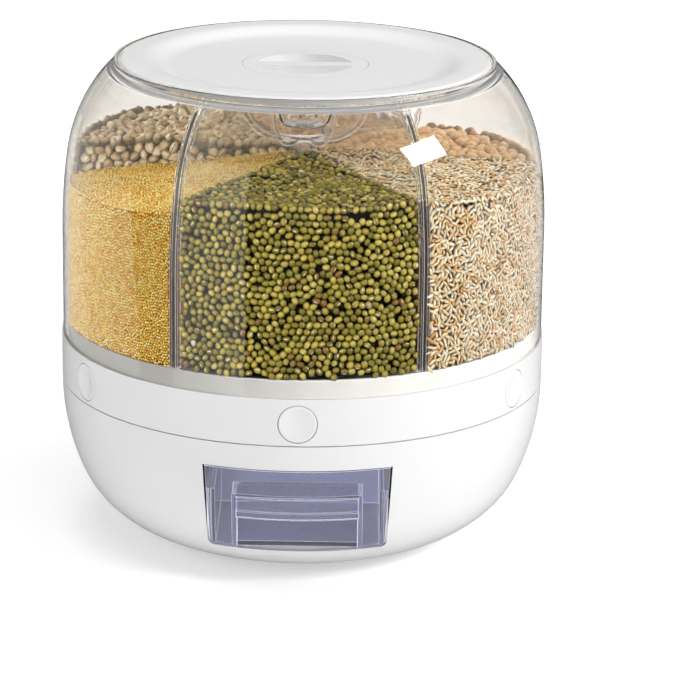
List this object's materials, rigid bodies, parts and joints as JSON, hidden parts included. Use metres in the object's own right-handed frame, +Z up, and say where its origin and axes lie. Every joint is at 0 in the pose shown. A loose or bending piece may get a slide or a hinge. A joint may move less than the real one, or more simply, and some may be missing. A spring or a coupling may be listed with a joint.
{
  "type": "rotating dry food dispenser",
  "caption": "Round countertop dispenser: a clear turning hopper with sealed lid and spring gates drops grain into a drawer in the base.",
  "frame": {"origin": "on the table under the turning axis, at the bottom centre of the bounding box", "axes": "+Z up along the turning axis, -Y towards the user (drawer side), +X to the user's right"},
  "size_m": [0.3, 0.3, 0.2976],
  "materials": {
    "white_gloss": "satin-gloss white ABS",
    "white_inner": "plain moulded white",
    "grey_plastic": "slippery acetal",
    "clear_plastic": "clear polished",
    "tinted_plastic": "blue-violet tinted, clear",
    "silicone": "translucent silicone",
    "rubber": "matt grey",
    "steel": "zinc plated"
  },
  "bodies": {
    "base": {"base_bowl": "white_gloss", "base_cover": "white_inner", "rubber_feet": "rubber", "cover_screws": "steel", "drawer_bay": "white_inner", "bay_screws": "steel", "base_deck": "white_inner", "deck_screws": "steel", "outlet_chute": "white_inner", "chute_screws": "steel"},
    "ball_race": {"ball_cage": "grey_plastic", "bearing_balls": "steel"},
    "turntable": {"turntable_plate": "white_inner", "pivot_washer": "steel", "pivot_screw": "steel", "hopper_floor": "white_inner", "floor_screws": "steel", "button_ring": "white_gloss", "ring_screws": "steel", "barrel_seal": "silicone", "barrel_shell": "clear_plastic", "divider_star": "clear_plastic", "button_spring_1": "steel", "button_spring_2": "steel", "button_spring_3": "steel", "button_spring_4": "steel", "button_spring_5": "steel", "button_spring_6": "steel"},
    "lid": {"lid_shell": "white_gloss", "lid_seal": "silicone", "lid_grip": "white_gloss"},
    "drawer": {"drawer_tray": "tinted_plastic"},
    "outlet_1": {"button_1": "white_gloss", "gate_1": "grey_plastic"},
    "outlet_2": {"button_2": "white_gloss", "gate_2": "grey_plastic"},
    "outlet_3": {"button_3": "white_gloss", "gate_3": "grey_plastic"},
    "outlet_4": {"button_4": "white_gloss", "gate_4": "grey_plastic"},
    "outlet_5": {"button_5": "white_gloss", "gate_5": "grey_plastic"},
    "outlet_6": {"button_6": "white_gloss", "gate_6": "grey_plastic"}
  },
  "joints": [
    {"name": "turntable_spin", "type": "hinge", "parent": "base", "child": "turntable", "pos_m": [0, 0, 0.0976], "axis": [0, 0, 1], "continuous": true},
    {"name": "ball_race_spin", "type": "hinge", "parent": "base", "child": "ball_race", "pos_m": [0, 0, 0.0976], "axis": [0, 0, 1], "continuous": true},
    {"name": "lid_lift", "type": "slide", "parent": "turntable", "child": "lid", "axis": [0, 0, 1], "range_m": [0, 0.06]},
    {"name": "drawer_slide", "type": "slide", "parent": "base", "child": "drawer", "axis": [0, -1, 0], "range_m": [0, 0.11]},
    {"name": "button_1_press", "type": "slide", "parent": "turntable", "child": "outlet_1", "axis": [0, 1, 0], "range_m": [0, 0.012], "stiffness_N_per_m": 200, "springref_m": -0.012, "deforming": ["button_spring_1"]},
    {"name": "button_2_press", "type": "slide", "parent": "turntable", "child": "outlet_2", "axis": [-0.866, 0.5, 0], "range_m": [0, 0.012], "stiffness_N_per_m": 200, "springref_m": -0.012, "deforming": ["button_spring_2"]},
    {"name": "button_3_press", "type": "slide", "parent": "turntable", "child": "outlet_3", "axis": [-0.866, -0.5, 0], "range_m": [0, 0.012], "stiffness_N_per_m": 200, "springref_m": -0.012, "deforming": ["button_spring_3"]},
    {"name": "button_4_press", "type": "slide", "parent": "turntable", "child": "outlet_4", "axis": [0, -1, 0], "range_m": [0, 0.012], "stiffness_N_per_m": 200, "springref_m": -0.012, "deforming": ["button_spring_4"]},
    {"name": "button_5_press", "type": "slide", "parent": "turntable", "child": "outlet_5", "axis": [0.866, -0.5, 0], "range_m": [0, 0.012], "stiffness_N_per_m": 200, "springref_m": -0.012, "deforming": ["button_spring_5"]},
    {"name": "button_6_press", "type": "slide", "parent": "turntable", "child": "outlet_6", "axis": [0.866, 0.5, 0], "range_m": [0, 0.012], "stiffness_N_per_m": 200, "springref_m": -0.012, "deforming": ["button_spring_6"]}
  ],
  "couplings": [
    {"joint": "ball_race_spin", "follows": "turntable_spin", "ratio": 0.5}
  ]
}
